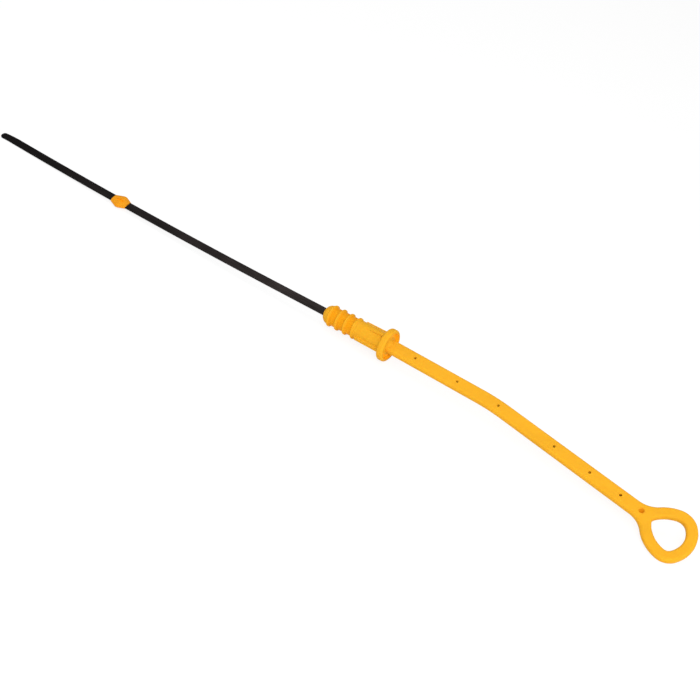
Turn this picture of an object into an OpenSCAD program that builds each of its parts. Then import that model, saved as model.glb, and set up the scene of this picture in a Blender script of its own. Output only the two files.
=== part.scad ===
// Engine oil dipstick: a spring-steel strip moulded into a plastic handle with a finger loop,
// a seating flange and four sealing fins, and a small guide bead on the strip.
// It lies as it comes to rest, on the flange's rim, the low side of the loop and the measuring tip
// or the bead. X runs from the tip to the loop, and the origin is the centre of the seating face.

/* [Blade] */
// Width of the steel strip
blade_w = 5.4; // [4:0.1:6]
// Thickness of the steel strip
blade_t = 0.8; // [0.5:0.1:1.2]
// Bare strip from the collar's nose to the measuring tip
blade_bare = 293; // [180:1:500]
// Part of the bare strip, next to the collar, that is straight
blade_straight = 42; // [10:1:80]
// Radius of the slight sideways set in the rest of the bare strip
blade_set_r = 5200; // [3000:100:20000]
// How far the strip runs on past the last locating hole, inside the arm
blade_past_hole = 4; // [2:0.5:6]

/* [Measuring tip] */
// Length over which the tip is bent back a little
tip_len = 14; // [8:1:30]
// How far the tip is bent back, in degrees
tip_bend = 6; // [0:1:12]
// Width of the strip at the tip
tip_w = 4.8; // [3:0.1:6]
// Diameter of each level mark, a dimple stamped in both faces
mark_d = 1.8; // [1:0.1:2.4]
// Depth of each level mark
mark_depth = 0.15; // [0.05:0.05:0.2]
// Lower level mark, from the tip
mark_low = 10; // [6:0.5:20]
// Distance between the two level marks
mark_gap = 18; // [10:1:60]

/* [Guide bead] */
// Length of the bead along the strip
bead_len = 13; // [8:0.5:16]
// Width of the bead at its widest place
bead_w = 10.7; // [7.8:0.1:11]
// Thickness of the bead at its widest place
bead_t = 4; // [3:0.1:7]
// Width of the bead at its two ends
bead_end_w = 6.4; // [6.2:0.1:7.6]
// Rounding of the widest place
bead_belly_r = 4; // [2:0.5:5]
// How far the widest place lies from the bead's middle, towards the handle
bead_peak = 0.2; // [0:0.1:2]
// Middle of the bead, from the tip
bead_from_tip = 119; // [60:1:160]
// Length of the pocket in each flat side of the bead
pocket_len = 5.4; // [3:0.1:7]
// Width of that pocket
pocket_w = 1.5; // [0.8:0.1:2]
// Depth of that pocket
pocket_depth = 0.6; // [0.2:0.1:0.8]

/* [Collar] */
// Radius of the collar's body and nose
body_r = 6.1; // [5.9:0.1:6.6]
// Radius over the sealing fins
fin_r = 7; // [6.8:0.1:8]
// Number of sealing fins
fin_count = 4; // [3:1:5]
// Distance from one fin to the next
fin_pitch = 6; // [5:0.1:7]
// Seating face to the nearest fin
fin_first = 21; // [16:0.5:30]
// Width of a fin's crest, which touches the tube
fin_land = 0.9; // [0.8:0.1:1.4]
// Rounding of the crest's two edges
fin_round = 0.25; // [0.1:0.05:0.35]
// Width of a fin at its foot
fin_foot = 2.4; // [1.8:0.1:3]
// Radius of the groove between two fins
groove_r = 5.9; // [5:0.1:6]
// Rounding of the nose
nose_round = 4.6; // [2:0.1:5.4]
// Middle of the last fin to where the nose's rounding begins
nose_land = 1; // [0.1:0.1:3]

/* [Flange] */
// Radius of the flange
flange_r = 10.45; // [9:0.05:14]
// Thickness of the flange
flange_t = 4.5; // [3.4:0.1:6]
// Rounding of the flange's rim
flange_round = 1.4; // [0.4:0.1:1.6]
// Depth of the dish in the flange's loop side
dish_depth = 1.2; // [0.4:0.1:1.6]
// Width of the rim around that dish
dish_rim = 1.9; // [1.7:0.1:2.5]
// How far the dish's wall leans inwards
dish_lean = 0.8; // [0.2:0.1:1]
// Radius of the neck where it rises from the dish
neck_r = 5.6; // [5:0.1:6.4]
// Length of the neck, which fades into the arm
neck_len = 3.6; // [3.4:0.1:8]
// Thickness of the two side ribs between the collar's body and the flange
rib_t = 2.6; // [1:0.1:3.2]
// Gap between the nearest fin and the side ribs
rib_gap = 1.9; // [0.8:0.1:3]
// How far the side ribs stand out at their start
rib_low = 7.3; // [6.8:0.1:7.4]
// How far the side ribs stand out where they meet the flange
rib_reach = 7.5; // [7.4:0.1:8.6]
// Thickness of the two gussets on the collar's flat sides
gusset_t = 1.4; // [1:0.1:2.6]
// Length of those gussets
gusset_len = 15; // [8:0.5:15.5]
// How far they stand out where they meet the flange
gusset_reach = 7.5; // [7:0.1:8.6]

/* [Arm] */
// Width of the arm
arm_w = 9.1; // [7:0.1:9.4]
// Thickness of the arm and the loop
arm_t = 4.4; // [3.6:0.1:5.4]
// Rounding along the edges of the arm and the loop
edge_r = 1.6; // [0.8:0.1:1.7]
// Sideways lean of the arm from the collar's axis, in degrees
arm_lean = 1.55; // [0:0.05:4]
// Arm from the seating face to its bend
arm_first = 68.6; // [40:0.2:90]
// Radius of the bend
bend_r = 130; // [60:5:200]
// Angle of the bend
bend_angle = 7.9; // [4:0.1:14]
// Arm from its bend to the middle of the loop
arm_second = 110; // [90:1:150]
// Diameter of the locating holes, which reach the strip
hole_d = 1.7; // [1:0.1:2.2]
// Places of the locating holes along the arm, from the seating face
hole_at = [22.5, 52.5, 81.5, 122.5, 147.5, 168.5]; // [20:0.5:172]
// Diameter of the gate dimple at the loop's neck
dimple_d = 3.4; // [2.4:0.1:5]
// Depth of the gate dimple
dimple_depth = 1.5; // [0.3:0.1:1.6]
// Middle of the gate dimple along the arm, from the seating face
dimple_at = 182.5; // [176:0.5:190]

/* [Loop] */
// Width of the loop's band
band_w = 6.4; // [5:0.1:7]
// Near corner, at the arm: its centre from the loop's middle
near_x = -6.2; // [-8:0.1:-4]
// Near corner: radius of the band's middle line
near_r = 3.9; // [3.6:0.1:6]
// Low corner: its centre from the loop's middle, forward
low_x = 8.3; // [6:0.1:10]
// Low corner: its centre from the loop's middle, sideways
low_y = -6.8; // [-8:0.1:-5]
// Low corner: radius of the band's middle line
low_r = 6.7; // [5:0.1:8]
// High corner: its centre from the loop's middle, forward
high_x = 4.8; // [3:0.1:7]
// High corner: its centre from the loop's middle, sideways
high_y = 3.6; // [2:0.1:5]
// High corner: radius of the band's middle line
high_r = 9.1; // [7:0.1:10]
// Radius of the side from the near to the low corner
low_side_r = 21.5; // [17:0.5:40]
// Radius of the far side
far_side_r = 16.5; // [14:0.5:60]
// Radius of the side from the high to the near corner
high_side_r = 21; // [14:0.5:40]
// Rounding between the arm and the loop
fillet_r = 14; // [3:0.5:18]
// Smallest rounding of the loop's opening
opening_r = 2.7; // [1:0.1:3.2]

/* [Hidden] */
$fn = 96;

deg = 180 / PI;
overlap = 0.01;
// Longest stretch of a slight curve, and widest angle of a round one, between two points
path_step = 18;
arc_step = 7.5;
bend_steps = 6;

// The collar, from the seating face towards the tip
fin_span = fin_pitch * (fin_count - 1);
nose_end = fin_first + fin_span + nose_land + nose_round;

// The neck's hollow curve, tangent to the arm's flat side
neck_drop = neck_r - arm_t / 2;
neck_curve_r = (neck_len ^ 2 + neck_drop ^ 2) / (2 * neck_drop);

// A place on the path is [x, y, heading]. A path turns left where its curvature is positive.
function along(p, s, k = 0) =
    k == 0
        ? [p.x + s * cos(p.z), p.y + s * sin(p.z), p.z]
        : let (h = p.z + s * k * deg)
          [p.x + (sin(h) - sin(p.z)) / k, p.y - (cos(h) - cos(p.z)) / k, h];

// The arm's centreline: straight, bend, straight to the middle of the loop
arm_start = [0, 0, -arm_lean];
bend_start = along(arm_start, arm_first);
bend_len = bend_r * bend_angle / deg;
bend_end = along(bend_start, bend_len, -1 / bend_r);
loop_mid = along(bend_end, arm_second);

function on_arm(s) =
    s < arm_first ? along(arm_start, s)
    : s < arm_first + bend_len ? along(bend_start, s - arm_first, -1 / bend_r)
    : along(bend_end, s - arm_first - bend_len);

// The bare strip's centreline, measured from the seating face towards the tip
blade_len = nose_end + blade_bare;
set_from = nose_end + blade_straight;
tip_from = blade_len - tip_len;
set_start = [-set_from, 0, 180];
tip_start = along(set_start, tip_from - set_from, -1 / blade_set_r);
tip_curve = tip_bend / tip_len / deg;

function on_bare(s) =
    s < set_from ? [-s, 0, 180]
    : s < tip_from ? along(set_start, s - set_from, -1 / blade_set_r)
    : along(tip_start, s - tip_from, tip_curve);

// The strip narrows a little along the tip and ends in a half circle
tip_round_at = blade_len - tip_w / 2;
function bare_w(s) =
    s < tip_from ? blade_w
    : s < tip_round_at ? blade_w + (tip_w - blade_w) * (s - tip_from) / (tip_round_at - tip_from)
    : tip_w * sqrt(max(0, 1 - ((s - tip_round_at) / (blade_len - tip_round_at)) ^ 2));

// The point beside a place on a path, to its left where the offset is positive
function beside(p, d) = [p.x - d * sin(p.z), p.y + d * cos(p.z)];

// Where the strip's outline has its points, from the collar's nose outwards and along the arm
blade_end = hole_at[len(hole_at) - 1] + blade_past_hole;
bare_stops = concat([nose_end], [for (s = [set_from : path_step : tip_from]) s],
                    [for (i = [0 : bend_steps - 1]) tip_from + (tip_round_at - tip_from) * i / bend_steps],
                    [for (a = [0 : arc_step : 90]) tip_round_at + (blade_len - tip_round_at) * sin(a)]);
bend_stops = [for (i = [0 : bend_steps]) arm_first + bend_len * i / bend_steps];
arm_stops = concat([0], bend_stops, [blade_end]);

// The loop's middle line: three corner circles [x, y, radius] that three bulged sides hold
corners = [[near_x, 0, near_r], [low_x, low_y, low_r], [high_x, high_y, high_r]];
bulges = [low_side_r, far_side_r, high_side_r];

function side_centre(a, b, r) =
    let (gap = [b.x - a.x, b.y - a.y], span = norm(gap), u = gap / span, reach = r - a.z,
         t = (reach ^ 2 - (r - b.z) ^ 2 + span ^ 2) / (2 * span), h = sqrt(reach ^ 2 - t ^ 2))
    [a.x + u.x * t - u.y * h, a.y + u.y * t + u.x * h];
sides = [for (i = [0 : 2]) side_centre(corners[i], corners[(i + 1) % 3], bulges[i])];

// An arc that turns left about a centre, up to but without its end point
function arc(centre, r, from, to) =
    let (turn = to < from ? to + 360 - from : to - from, steps = ceil(turn / arc_step))
    [for (i = [0 : steps - 1])
        let (a = from + turn * i / steps)
        [centre.x + r * cos(a), centre.y + r * sin(a)]];
function towards(centre, p) = atan2(p.y - centre.y, p.x - centre.x);

// The closed middle line, moved outwards by d
function ring(d) =
    [for (i = [0 : 2])
        let (corner = corners[i], next = corners[(i + 1) % 3],
             before = sides[(i + 2) % 3], after = sides[i])
        each concat(
            arc(corner, corner.z + d, towards(before, corner), towards(after, corner)),
            arc(after, bulges[i] + d, towards(after, corner), towards(after, next)))];

// The part rests on the flange's rim, on the loop's low side, and on the tip or the bead. Each touches
// the ground with a rounded edge, and where they lie gives the tilt and the roll.
function placed(frame, q) =
    [frame.x + q.x * cos(frame.z) - q.y * sin(frame.z), frame.y + q.x * sin(frame.z) + q.y * cos(frame.z)];
loop_rim = [for (q = ring(band_w / 2 - edge_r)) placed(loop_mid, q)];
plate_drop = arm_t / 2 - edge_r;
tip_mid = on_bare(tip_round_at);
bead_mid = on_bare(blade_len - bead_from_tip - bead_peak);

function lowest(points, lean) =
    let (sunk = [for (p = points) p.y + lean * p.x])
    points[search(min(sunk), sunk)[0]];
function roll_for(tilt, roll) =
    let (p = lowest(loop_rim, tan(tilt) / sin(roll)),
         height = flange_r - edge_r + (p.x - flange_round) * tan(tilt))
    asin(height / norm([p.y, plate_drop])) - atan(plate_drop / -p.y);
function tilt_for(tilt, roll) =
    let (bead_low = norm([bead_w * sin(roll), bead_t * cos(roll)]) / 2 - bead_mid.y * sin(roll),
         tip_low = (tip_w * norm([tan(tilt), sin(roll)]) + blade_t * cos(roll)) / 2 - tip_mid.y * sin(roll))
    min(atan((flange_r - bead_low) / (flange_round - bead_mid.x)),
        atan((flange_r - tip_low) / (flange_round - tip_mid.x)));
function settled(tilt, roll, rounds) =
    rounds == 0 ? [tilt, roll]
    : let (next_roll = roll_for(tilt, roll))
      settled(tilt_for(tilt, next_roll), next_roll, rounds - 1);
rest = settled(2, 20, 12);
rest_tilt = rest[0];
rest_roll = rest[1];

// Everything lies rolled and tilted about the seating face's centre
module at_rest() {
    rotate([0, -rest_tilt, 0])
        rotate([rest_roll, 0, 0])
            children();
}

// Puts its children at a place on a path
module at(p) {
    translate([p.x, p.y, 0])
        rotate(p.z)
            children();
}

// Turns a profile that is drawn as [radius, distance along X] about the X axis
module turned() {
    rotate([0, 90, 0])
        rotate_extrude()
            children();
}

// One long edge of the strip, from the tip to its end inside the arm
function strip_edge(side) = concat(
    [for (i = [len(bare_stops) - 1 : -1 : 0])
        let (s = bare_stops[i]) beside(on_bare(s), -side * bare_w(s) / 2)],
    [for (s = arm_stops) beside(on_arm(s), side * blade_w / 2)]);

module strip() {
    far_edge = strip_edge(1);
    near_edge = strip_edge(-1);
    linear_extrude(blade_t, center = true)
        polygon(concat(far_edge, [for (i = [len(near_edge) - 1 : -1 : 1]) near_edge[i]]));
}

module blade() {
    color([0.13, 0.12, 0.12])
        at_rest()
            difference() {
                strip();
                for (s = [mark_low, mark_low + mark_gap])
                    at(on_bare(blade_len - s))
                        for (z = [-1, 1])
                            translate([0, 0, z * blade_t / 2])
                                cylinder(h = 2 * mark_depth, d = mark_d, center = true);
            }
}

// The bead's outline, drawn as [radius, distance along X]
module bead_profile() {
    intersection() {
        hull() {
            translate([bead_w / 2 - bead_belly_r, -bead_peak])
                circle(bead_belly_r);
            translate([0, -bead_len / 2])
                square([bead_end_w / 2, bead_len]);
        }
        translate([0, -bead_len / 2])
            square([bead_w, bead_len]);
    }
}

// A slot with round ends, seen from above
module slot(length, width) {
    square([length - width, width], center = true);
    for (side = [-1, 1])
        translate([side * (length - width) / 2, 0])
            circle(d = width);
}

module guide_bead() {
    color([0.95, 0.6, 0.1])
        at_rest()
            difference() {
                at(on_bare(blade_len - bead_from_tip))
                    difference() {
                        scale([1, 1, bead_t / bead_w])
                            turned($fn = 40)
                                bead_profile();
                        for (z = [-1, 1])
                            translate([-bead_peak, 0, z * bead_t / 2])
                                linear_extrude(2 * pocket_depth, center = true)
                                    slot(pocket_len, pocket_w);
                    }
                strip();
            }
}

// One fin's profile, with a crest that has rounded edges and with sloping sides
module fin_profile() {
    shoulder = fin_r - fin_round;
    polygon([[0, -fin_foot / 2], [groove_r, -fin_foot / 2], [shoulder, -fin_land / 2],
             [shoulder, fin_land / 2], [groove_r, fin_foot / 2], [0, fin_foot / 2]]);
    translate([0, fin_round - fin_land / 2])
        square([fin_r, fin_land - 2 * fin_round]);
    for (side = [-1, 1])
        translate([shoulder, side * (fin_land / 2 - fin_round)])
            circle(fin_round);
}

// Body, grooves, fins and the rounded nose, drawn as [radius, distance along X]
module collar_profile() {
    last_fin = fin_first + fin_span;
    translate([0, -fin_first])
        square([body_r, fin_first + overlap]);
    translate([0, -last_fin])
        square([groove_r, fin_span]);
    for (i = [0 : fin_count - 1])
        translate([0, -fin_first - i * fin_pitch])
            fin_profile();
    translate([0, -last_fin - nose_land])
        square([body_r, nose_land]);
    translate([0, -nose_end])
        square([body_r - nose_round, nose_round + overlap]);
    intersection() {
        translate([body_r - nose_round, -last_fin - nose_land])
            circle(nose_round);
        translate([0, -nose_end])
            square([body_r, nose_round]);
    }
}

// The flange with its rounded rim, its dish and the neck, drawn as [radius, distance along X]
module flange_profile() {
    rim = flange_r - flange_round;
    dish_r = flange_r - dish_rim;
    difference() {
        union() {
            square([rim, flange_t]);
            translate([0, flange_round])
                square([flange_r, flange_t - 2 * flange_round]);
            for (x = [flange_round, flange_t - flange_round])
                translate([rim, x])
                    circle(flange_round);
        }
        translate([0, flange_t])
            polygon([[0, -dish_depth], [dish_r - dish_lean, -dish_depth], [dish_r, 0],
                     [dish_r, dish_depth], [0, dish_depth]]);
    }
    difference() {
        square([neck_r, flange_t - dish_depth + neck_len]);
        translate([arm_t / 2 + neck_curve_r, flange_t - dish_depth + neck_len])
            circle(neck_curve_r);
    }
}

// Two side ribs and two gussets between the body and the flange
module ribs() {
    start = fin_first - fin_foot / 2 - rib_gap;
    linear_extrude(rib_t, center = true)
        for (side = [-1, 1])
            polygon([[overlap, 0], [-start, 0], [-start, side * rib_low], [overlap, side * rib_reach]]);
    rotate([90, 0, 0])
        linear_extrude(gusset_t, center = true)
            for (side = [-1, 1])
                polygon([[overlap, 0], [-gusset_len, 0], [-gusset_len, side * groove_r],
                         [overlap, side * gusset_reach]]);
}

// The arm and the loop seen from above, smaller by the rounding of their edges
module plate_outline() {
    half_w = arm_w / 2 - edge_r;
    stops = concat([0], bend_stops, [arm_first + bend_len + arm_second + near_x]);
    difference() {
        // Out and back again rounds only the hollow corners between arm and loop
        offset(r = -(fillet_r + edge_r), $fn = 64)
            offset(delta = fillet_r + edge_r) {
                polygon(concat([for (s = stops) beside(on_arm(s), half_w)],
                               [for (i = [len(stops) - 1 : -1 : 0]) beside(on_arm(stops[i]), -half_w)]));
                at(loop_mid)
                    polygon(ring(band_w / 2 - edge_r));
            }
        // In and out again rounds the opening's narrow corner
        at(loop_mid)
            offset(r = opening_r + edge_r, $fn = 64)
                offset(delta = -(opening_r + edge_r))
                    polygon(ring(edge_r - band_w / 2));
    }
}

// The ball that rounds the edges, with a point on its poles and its equator
module edge_ball() {
    half_steps = 4;
    rotate_extrude($fn = 4 * half_steps)
        polygon([for (i = [-half_steps : half_steps])
            let (a = 90 * i / half_steps) edge_r * [cos(a), sin(a)]]);
}

// Arm and loop, moulded as one plate with rounded edges
module plate() {
    minkowski() {
        linear_extrude(arm_t - 2 * edge_r, center = true)
            plate_outline();
        edge_ball();
    }
}

module gate_dimple() {
    dimple_r = ((dimple_d / 2) ^ 2 + dimple_depth ^ 2) / (2 * dimple_depth);
    at(on_arm(dimple_at))
        translate([0, 0, arm_t / 2 - dimple_depth + dimple_r])
            sphere(dimple_r);
}

module handle() {
    color([0.98, 0.7, 0.15])
        at_rest()
            difference() {
                union() {
                    turned()
                        collar_profile();
                    turned()
                        flange_profile();
                    ribs();
                    plate();
                }
                strip();
                for (s = hole_at)
                    at(on_arm(s))
                        cylinder(h = arm_t + 2 * neck_r, d = hole_d, center = true);
                gate_dimple();
            }
}

blade();
handle();
guide_bead();
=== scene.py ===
import math

import bpy
from mathutils import Matrix, Vector


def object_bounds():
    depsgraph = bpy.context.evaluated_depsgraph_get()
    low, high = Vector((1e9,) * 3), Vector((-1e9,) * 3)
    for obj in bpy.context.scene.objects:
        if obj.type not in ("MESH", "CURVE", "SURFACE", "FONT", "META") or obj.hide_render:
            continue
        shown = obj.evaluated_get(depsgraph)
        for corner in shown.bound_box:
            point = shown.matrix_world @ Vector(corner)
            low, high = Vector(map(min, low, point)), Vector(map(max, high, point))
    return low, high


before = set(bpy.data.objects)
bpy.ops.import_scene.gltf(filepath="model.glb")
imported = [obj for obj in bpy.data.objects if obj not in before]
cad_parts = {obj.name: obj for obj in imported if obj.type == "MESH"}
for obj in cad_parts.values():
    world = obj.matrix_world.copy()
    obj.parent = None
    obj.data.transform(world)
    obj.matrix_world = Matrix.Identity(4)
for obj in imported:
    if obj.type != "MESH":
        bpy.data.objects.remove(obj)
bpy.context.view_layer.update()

# How the part lies: tilted along its axis and rolled about it, as its solids are
REST_TILT = math.radians(1.919)
REST_ROLL = math.radians(23.262)
REST = Matrix.Rotation(-REST_TILT, 3, "Y") @ Matrix.Rotation(REST_ROLL, 3, "X")

# The camera: its place, what it looks at, its roll and its lens
CAMERA_AT = Vector((0.26562, -0.56825, 0.38863))
CAMERA_AIM = Vector((-0.0148, -0.01359, -0.00746))
CAMERA_ROLL = math.radians(14.742)
CAMERA_LENS = 62.95

# The lights: name, place, size and power; all are turned towards the origin
LIGHTS = [
    ("key", (0.5, -1.0, 0.85), 0.9, 13),
    ("top", (-0.3, 0.1, 1.3), 1.2, 5),
    ("side", (1.3, -0.4, 0.45), 1.0, 5),
]
SKY_LIGHT = 0.5

# The ground: how wide it is, how bright it glows and how much of its look is that glow
GROUND_SIZE = 12
GROUND_GLOW = 1.06
GLOW_SHARE = 0.8

# Where the part's hollows are, along its own axes and as radii about its collar; these place its
# painted shade
DIMPLE_MIDDLE = (0.18108, -0.01933, 0.0009)
DIMPLE_REACH = (0.0011, 0.0019)
GROOVES_FROM_TO = (-0.039, -0.022)
GROOVE_RADII = (0.0059, 0.0068)
DISH_FROM_TO = (0.0031, 0.0045)
DISH_RADII = (0.006, 0.0083)
POCKET_FROM_TO = (-0.2212, -0.2158)
POCKET_ACROSS = (0.0009, 0.0023)

# The stretch of the strip over which its painted reflection grows, from the tip to the collar
SHEEN_FROM_TO = (-0.34, -0.04)

# Colours are linear; the flow marks in the plastic darken them by a share
YELLOW = (0.75, 0.36, 0.018)
# Painted shade: a deeper orange between the fins, where the grooves lie in shade
GROOVE_SHADE_ORANGE = (0.74, 0.29, 0.006)
# Painted shade: a deeper, more saturated orange in the flange's dish, which faces away from the light
DISH_SHADE_ORANGE = (0.95, 0.37, 0.005)
# Painted shade: a darker orange in the gate dimple
DIMPLE_SHADE_ORANGE = (0.6, 0.21, 0.003)
AMBER = (0.76, 0.295, 0.012)
# Painted shade: a deeper orange in the bead's pocket
POCKET_SHADE_ORANGE = (0.84, 0.3, 0.003)
BLACK_OXIDE = (0.003, 0.002, 0.002)
# The lighter oxide: real worn patches, and a painted reflection that lightens the strip towards the
# collar
WORN_OXIDE_AND_SHEEN = (0.032, 0.025, 0.024)
HANDLE_FLOW = 0.93
BEAD_FLOW = 0.9
GROUND_WHITE = (0.86, 0.86, 0.86)

# Sockets of a mix node that is set to colours
MIX_SHARE = 0
MIX_FIRST = 6
MIX_SECOND = 7
MIX_RESULT = 2


def link(tree, source, target):
    tree.links.new(source, target)


def add(tree, kind, **values):
    """A node whose inputs are set by name."""
    made = tree.nodes.new(kind)
    for name, value in values.items():
        made.inputs[name.replace("_", " ")].default_value = value
    return made


def new_material(name):
    """A material with an empty tree but for its output and one Principled shader."""
    material = bpy.data.materials.new(name)
    material.use_nodes = True
    tree = material.node_tree
    tree.nodes.clear()
    out = tree.nodes.new("ShaderNodeOutputMaterial")
    shader = tree.nodes.new("ShaderNodeBsdfPrincipled")
    link(tree, shader.outputs["BSDF"], out.inputs["Surface"])
    return material, tree, shader


def position(tree, stretch=(1, 1, 1)):
    """The place on the part, turned back to its own axes, in metres times stretch."""
    coordinates = tree.nodes.new("ShaderNodeTexCoord")
    turn = tree.nodes.new("ShaderNodeMapping")
    turn.vector_type = "POINT"
    turn.inputs["Rotation"].default_value = REST.inverted().to_euler("XYZ")
    link(tree, coordinates.outputs["Object"], turn.inputs["Vector"])
    scale = tree.nodes.new("ShaderNodeMapping")
    scale.inputs["Scale"].default_value = stretch
    link(tree, turn.outputs["Vector"], scale.inputs["Vector"])
    return scale.outputs["Vector"]


def noise(tree, vector, scale, detail=3.0):
    made = add(tree, "ShaderNodeTexNoise", Scale=scale, Detail=detail)
    link(tree, vector, made.inputs["Vector"])
    return made.outputs["Fac"]


def ramp(tree, factor, stops):
    """A colour ramp with (place, colour) stops."""
    made = tree.nodes.new("ShaderNodeValToRGB")
    line = made.color_ramp
    while len(line.elements) < len(stops):
        line.elements.new(0.5)
    for element, (place, colour) in zip(line.elements, stops):
        element.position = place
        element.color = (*colour, 1)
    link(tree, factor, made.inputs["Fac"])
    return made.outputs["Color"]


def remap(tree, value, start, end, low, high):
    """The value, carried from start and end onto low and high and held there."""
    made = tree.nodes.new("ShaderNodeMapRange")
    made.inputs["From Min"].default_value = start
    made.inputs["From Max"].default_value = end
    made.inputs["To Min"].default_value = low
    made.inputs["To Max"].default_value = high
    link(tree, value, made.inputs["Value"])
    return made.outputs["Result"]


def multiply(tree, first, second):
    made = tree.nodes.new("ShaderNodeMath")
    made.operation = "MULTIPLY"
    link(tree, first, made.inputs[0])
    link(tree, second, made.inputs[1])
    return made.outputs["Value"]


def bump(tree, shader, height, distance, strength):
    made = add(tree, "ShaderNodeBump", Strength=strength, Distance=distance)
    link(tree, height, made.inputs["Height"])
    link(tree, made.outputs["Normal"], shader.inputs["Normal"])


def moulded_plastic(name, colour, flow_share):
    """Moulded plastic: faint flow marks in its colour, a fine skin and soft light inside it."""
    material, tree, shader = new_material(name)
    flow = noise(tree, position(tree, stretch=(0.35, 1, 1)), scale=90.0, detail=4.0)
    deeper = tuple(channel * flow_share for channel in colour)
    link(tree, ramp(tree, flow, [(0.3, deeper), (0.62, colour)]), shader.inputs["Base Color"])
    skin = noise(tree, position(tree), scale=1400.0, detail=2.0)
    roughness = remap(tree, flow, start=0.3, end=0.7, low=0.4, high=0.5)
    link(tree, roughness, shader.inputs["Roughness"])
    shader.inputs["Specular IOR Level"].default_value = 0.03
    shader.inputs["Subsurface Weight"].default_value = 0.12
    shader.inputs["Subsurface Radius"].default_value = (1.0, 0.45, 0.1)
    shader.inputs["Subsurface Scale"].default_value = 0.0012
    bump(tree, shader, skin, distance=0.00004, strength=0.5)
    return material


def between(tree, value, low, high, soft):
    """One where the value lies between low and high, and none past the soft distance outside them."""
    rise = remap(tree, value, start=low - soft, end=low, low=0, high=1)
    fall = remap(tree, value, start=high, end=high + soft, low=1, high=0)
    return multiply(tree, rise, fall)


def blend(tree, share, first, colour):
    """The first colour, blended towards a fixed one by the share."""
    made = tree.nodes.new("ShaderNodeMix")
    made.data_type = "RGBA"
    link(tree, share, made.inputs[MIX_SHARE])
    link(tree, first, made.inputs[MIX_FIRST])
    made.inputs[MIX_SECOND].default_value = (*colour, 1)
    return made.outputs[MIX_RESULT]


def open_colour(material):
    """The material's tree, its shader and what its colour comes from."""
    tree = material.node_tree
    shader = next(n for n in tree.nodes if n.type == "BSDF_PRINCIPLED")
    return tree, shader, shader.inputs["Base Color"].links[0].from_socket


def split(tree, vector):
    parts = tree.nodes.new("ShaderNodeSeparateXYZ")
    link(tree, vector, parts.inputs["Vector"])
    return parts


def paint_shade_in_pocket(material):
    """Painted shade: a deeper orange in the bead's pocket, where it lies in shade."""
    tree, shader, tint = open_colour(material)
    parts = split(tree, position(tree))
    # Painted shade in the bead's pocket, bounded along and across the strip
    along = between(tree, parts.outputs["X"], *POCKET_FROM_TO, soft=0.0004)
    across = between(tree, parts.outputs["Y"], *POCKET_ACROSS, soft=0.0003)
    pocket_shade = multiply(tree, along, across)
    link(tree, blend(tree, pocket_shade, tint, POCKET_SHADE_ORANGE), shader.inputs["Base Color"])


def paint_shade_in_hollows(material):
    """Painted shade: a deeper orange between the fins, in the flange's dish and in the gate dimple,
    where these hollows lie in shade.
    """
    tree, shader, tint = open_colour(material)
    place = position(tree)
    parts = split(tree, place)
    across = tree.nodes.new("ShaderNodeCombineXYZ")
    link(tree, parts.outputs["Y"], across.inputs["Y"])
    link(tree, parts.outputs["Z"], across.inputs["Z"])
    radius = tree.nodes.new("ShaderNodeVectorMath")
    radius.operation = "LENGTH"
    link(tree, across.outputs["Vector"], radius.inputs[0])
    # Painted shade between the fins: strongest at the groove floor, gone at the fin crests
    groove_depth = remap(tree, radius.outputs["Value"], *GROOVE_RADII, low=1, high=0)
    groove_span = between(tree, parts.outputs["X"], *GROOVES_FROM_TO, soft=0.0005)
    groove_shade = multiply(tree, groove_depth, groove_span)
    # Painted shade in the flange's dish, a ring on its loop-side face
    dish_ring = between(tree, radius.outputs["Value"], *DISH_RADII, soft=0.0003)
    dish_span = between(tree, parts.outputs["X"], *DISH_FROM_TO, soft=0.0002)
    dish_shade = multiply(tree, dish_ring, dish_span)
    # Painted shade in the gate dimple, fading out round its middle
    distance = tree.nodes.new("ShaderNodeVectorMath")
    distance.operation = "DISTANCE"
    distance.inputs[1].default_value = DIMPLE_MIDDLE
    link(tree, place, distance.inputs[0])
    dimple_shade = remap(tree, distance.outputs["Value"], *DIMPLE_REACH, low=1, high=0)
    # Painted shade: the grooves, the dish and the dimple take deeper oranges
    tint = blend(tree, groove_shade, tint, GROOVE_SHADE_ORANGE)
    tint = blend(tree, dish_shade, tint, DISH_SHADE_ORANGE)
    tint = blend(tree, dimple_shade, tint, DIMPLE_SHADE_ORANGE)
    link(tree, tint, shader.inputs["Base Color"])


def black_steel(name):
    """Blackened strip steel: rolling marks along it, worn in patches, and lightened towards the
    collar by a painted reflection.
    """
    material, tree, shader = new_material(name)
    rolled = noise(tree, position(tree, stretch=(0.04, 1, 1)), scale=2600.0)
    patches = noise(tree, position(tree, stretch=(0.25, 1, 1)), scale=120.0)
    along = split(tree, position(tree)).outputs["X"]
    # Painted reflection: the strip grows lighter from the tip to the collar, scaling the real worn
    # patches
    painted_sheen = remap(tree, along, *SHEEN_FROM_TO, low=0.1, high=1.0)
    wear_and_sheen = multiply(tree, multiply(tree, rolled, patches), painted_sheen)
    tint = ramp(tree, wear_and_sheen, [(0.06, BLACK_OXIDE), (0.36, WORN_OXIDE_AND_SHEEN)])
    link(tree, tint, shader.inputs["Base Color"])
    shader.inputs["Specular IOR Level"].default_value = 0.07
    roughness = remap(tree, patches, start=0.3, end=0.7, low=0.5, high=0.64)
    link(tree, roughness, shader.inputs["Roughness"])
    bump(tree, shader, rolled, distance=0.00003, strength=0.6)
    return material


def dress(node, material):
    """Gives a CAD node its finish."""
    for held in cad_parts[node].material_slots:
        held.material = material


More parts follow.
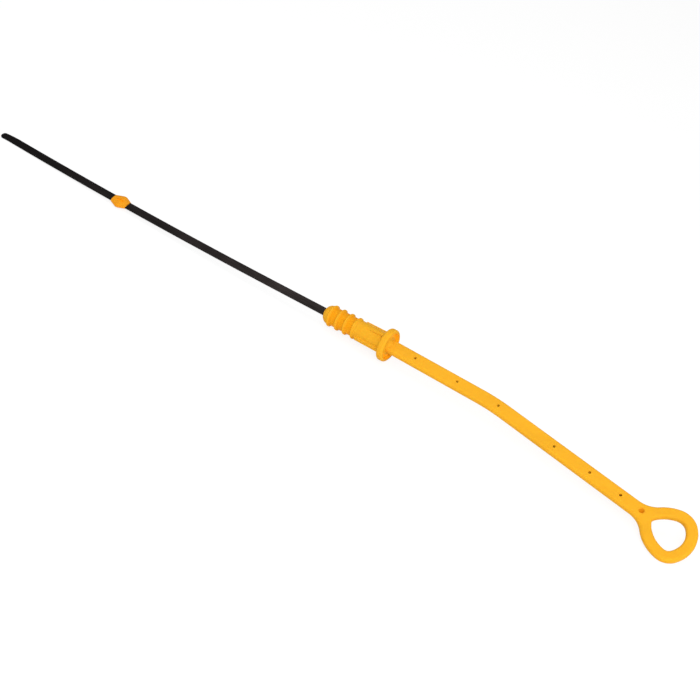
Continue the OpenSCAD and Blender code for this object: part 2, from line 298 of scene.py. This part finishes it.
def make_ground():
    """A plain pale ground, bright to the camera, that still shows the part's soft shadow."""
    low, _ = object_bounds()
    bpy.ops.mesh.primitive_plane_add(size=GROUND_SIZE, location=(0, 0, low.z))
    ground = bpy.context.object
    ground.name = "ground"
    material, tree, shader = new_material("ground_white")
    shader.inputs["Base Color"].default_value = (*GROUND_WHITE, 1)
    shader.inputs["Roughness"].default_value = 0.9
    shader.inputs["Specular IOR Level"].default_value = 0.0
    glow = add(tree, "ShaderNodeEmission", Strength=GROUND_GLOW)
    mixed = tree.nodes.new("ShaderNodeMixShader")
    path = tree.nodes.new("ShaderNodeLightPath")
    seen = tree.nodes.new("ShaderNodeMath")
    seen.operation = "MAXIMUM"
    link(tree, path.outputs["Is Camera Ray"], seen.inputs[0])
    link(tree, path.outputs["Is Glossy Ray"], seen.inputs[1])
    share = tree.nodes.new("ShaderNodeMath")
    share.operation = "MULTIPLY"
    share.inputs[1].default_value = GLOW_SHARE
    link(tree, seen.outputs["Value"], share.inputs[0])
    link(tree, share.outputs["Value"], mixed.inputs["Fac"])
    link(tree, shader.outputs["BSDF"], mixed.inputs[1])
    link(tree, glow.outputs["Emission"], mixed.inputs[2])
    out = next(n for n in tree.nodes if n.type == "OUTPUT_MATERIAL")
    link(tree, mixed.outputs["Shader"], out.inputs["Surface"])
    ground.data.materials.append(material)


def area_light(name, place, size, power):
    data = bpy.data.lights.new(name, "AREA")
    data.shape = "DISK"
    data.size = size
    data.energy = power
    lamp = bpy.data.objects.new(name, data)
    bpy.context.collection.objects.link(lamp)
    lamp.location = place
    lamp.rotation_mode = "QUATERNION"
    lamp.rotation_quaternion = (-Vector(place)).to_track_quat("-Z", "Y")


def make_world():
    """An even pale sky that lights from all round, white to the camera."""
    world = bpy.data.worlds.new("studio")
    bpy.context.scene.world = world
    world.use_nodes = True
    tree = world.node_tree
    tree.nodes.clear()
    out = tree.nodes.new("ShaderNodeOutputWorld")
    sky = add(tree, "ShaderNodeBackground", Color=(1, 1, 1, 1), Strength=SKY_LIGHT)
    white = add(tree, "ShaderNodeBackground", Color=(1, 1, 1, 1), Strength=1.0)
    path = tree.nodes.new("ShaderNodeLightPath")
    mixed = tree.nodes.new("ShaderNodeMixShader")
    link(tree, path.outputs["Is Camera Ray"], mixed.inputs["Fac"])
    link(tree, sky.outputs["Background"], mixed.inputs[1])
    link(tree, white.outputs["Background"], mixed.inputs[2])
    link(tree, mixed.outputs["Shader"], out.inputs["Surface"])


def make_camera():
    data = bpy.data.cameras.new("camera")
    data.lens = CAMERA_LENS
    data.sensor_width = 36
    data.clip_start = 0.01
    data.clip_end = 50
    camera = bpy.data.objects.new("camera", data)
    bpy.context.collection.objects.link(camera)
    camera.location = CAMERA_AT
    camera.rotation_mode = "QUATERNION"
    level = (CAMERA_AIM - CAMERA_AT).to_track_quat("-Z", "Y")
    camera.rotation_quaternion = level @ Matrix.Rotation(CAMERA_ROLL, 3, "Z").to_quaternion()
    bpy.context.scene.camera = camera


make_camera()
make_world()
for light in LIGHTS:
    area_light(*light)

handle_yellow = moulded_plastic("handle_yellow", YELLOW, HANDLE_FLOW)
# Painted shade in the handle's grooves, dish and dimple
paint_shade_in_hollows(handle_yellow)
dress("handle", handle_yellow)
bead_amber = moulded_plastic("bead_amber", AMBER, BEAD_FLOW)
# Painted shade in the bead's pocket
paint_shade_in_pocket(bead_amber)
dress("guide_bead", bead_amber)
dress("blade", black_steel("strip_black"))

make_ground()

bpy.context.scene.view_settings.view_transform = "Standard"
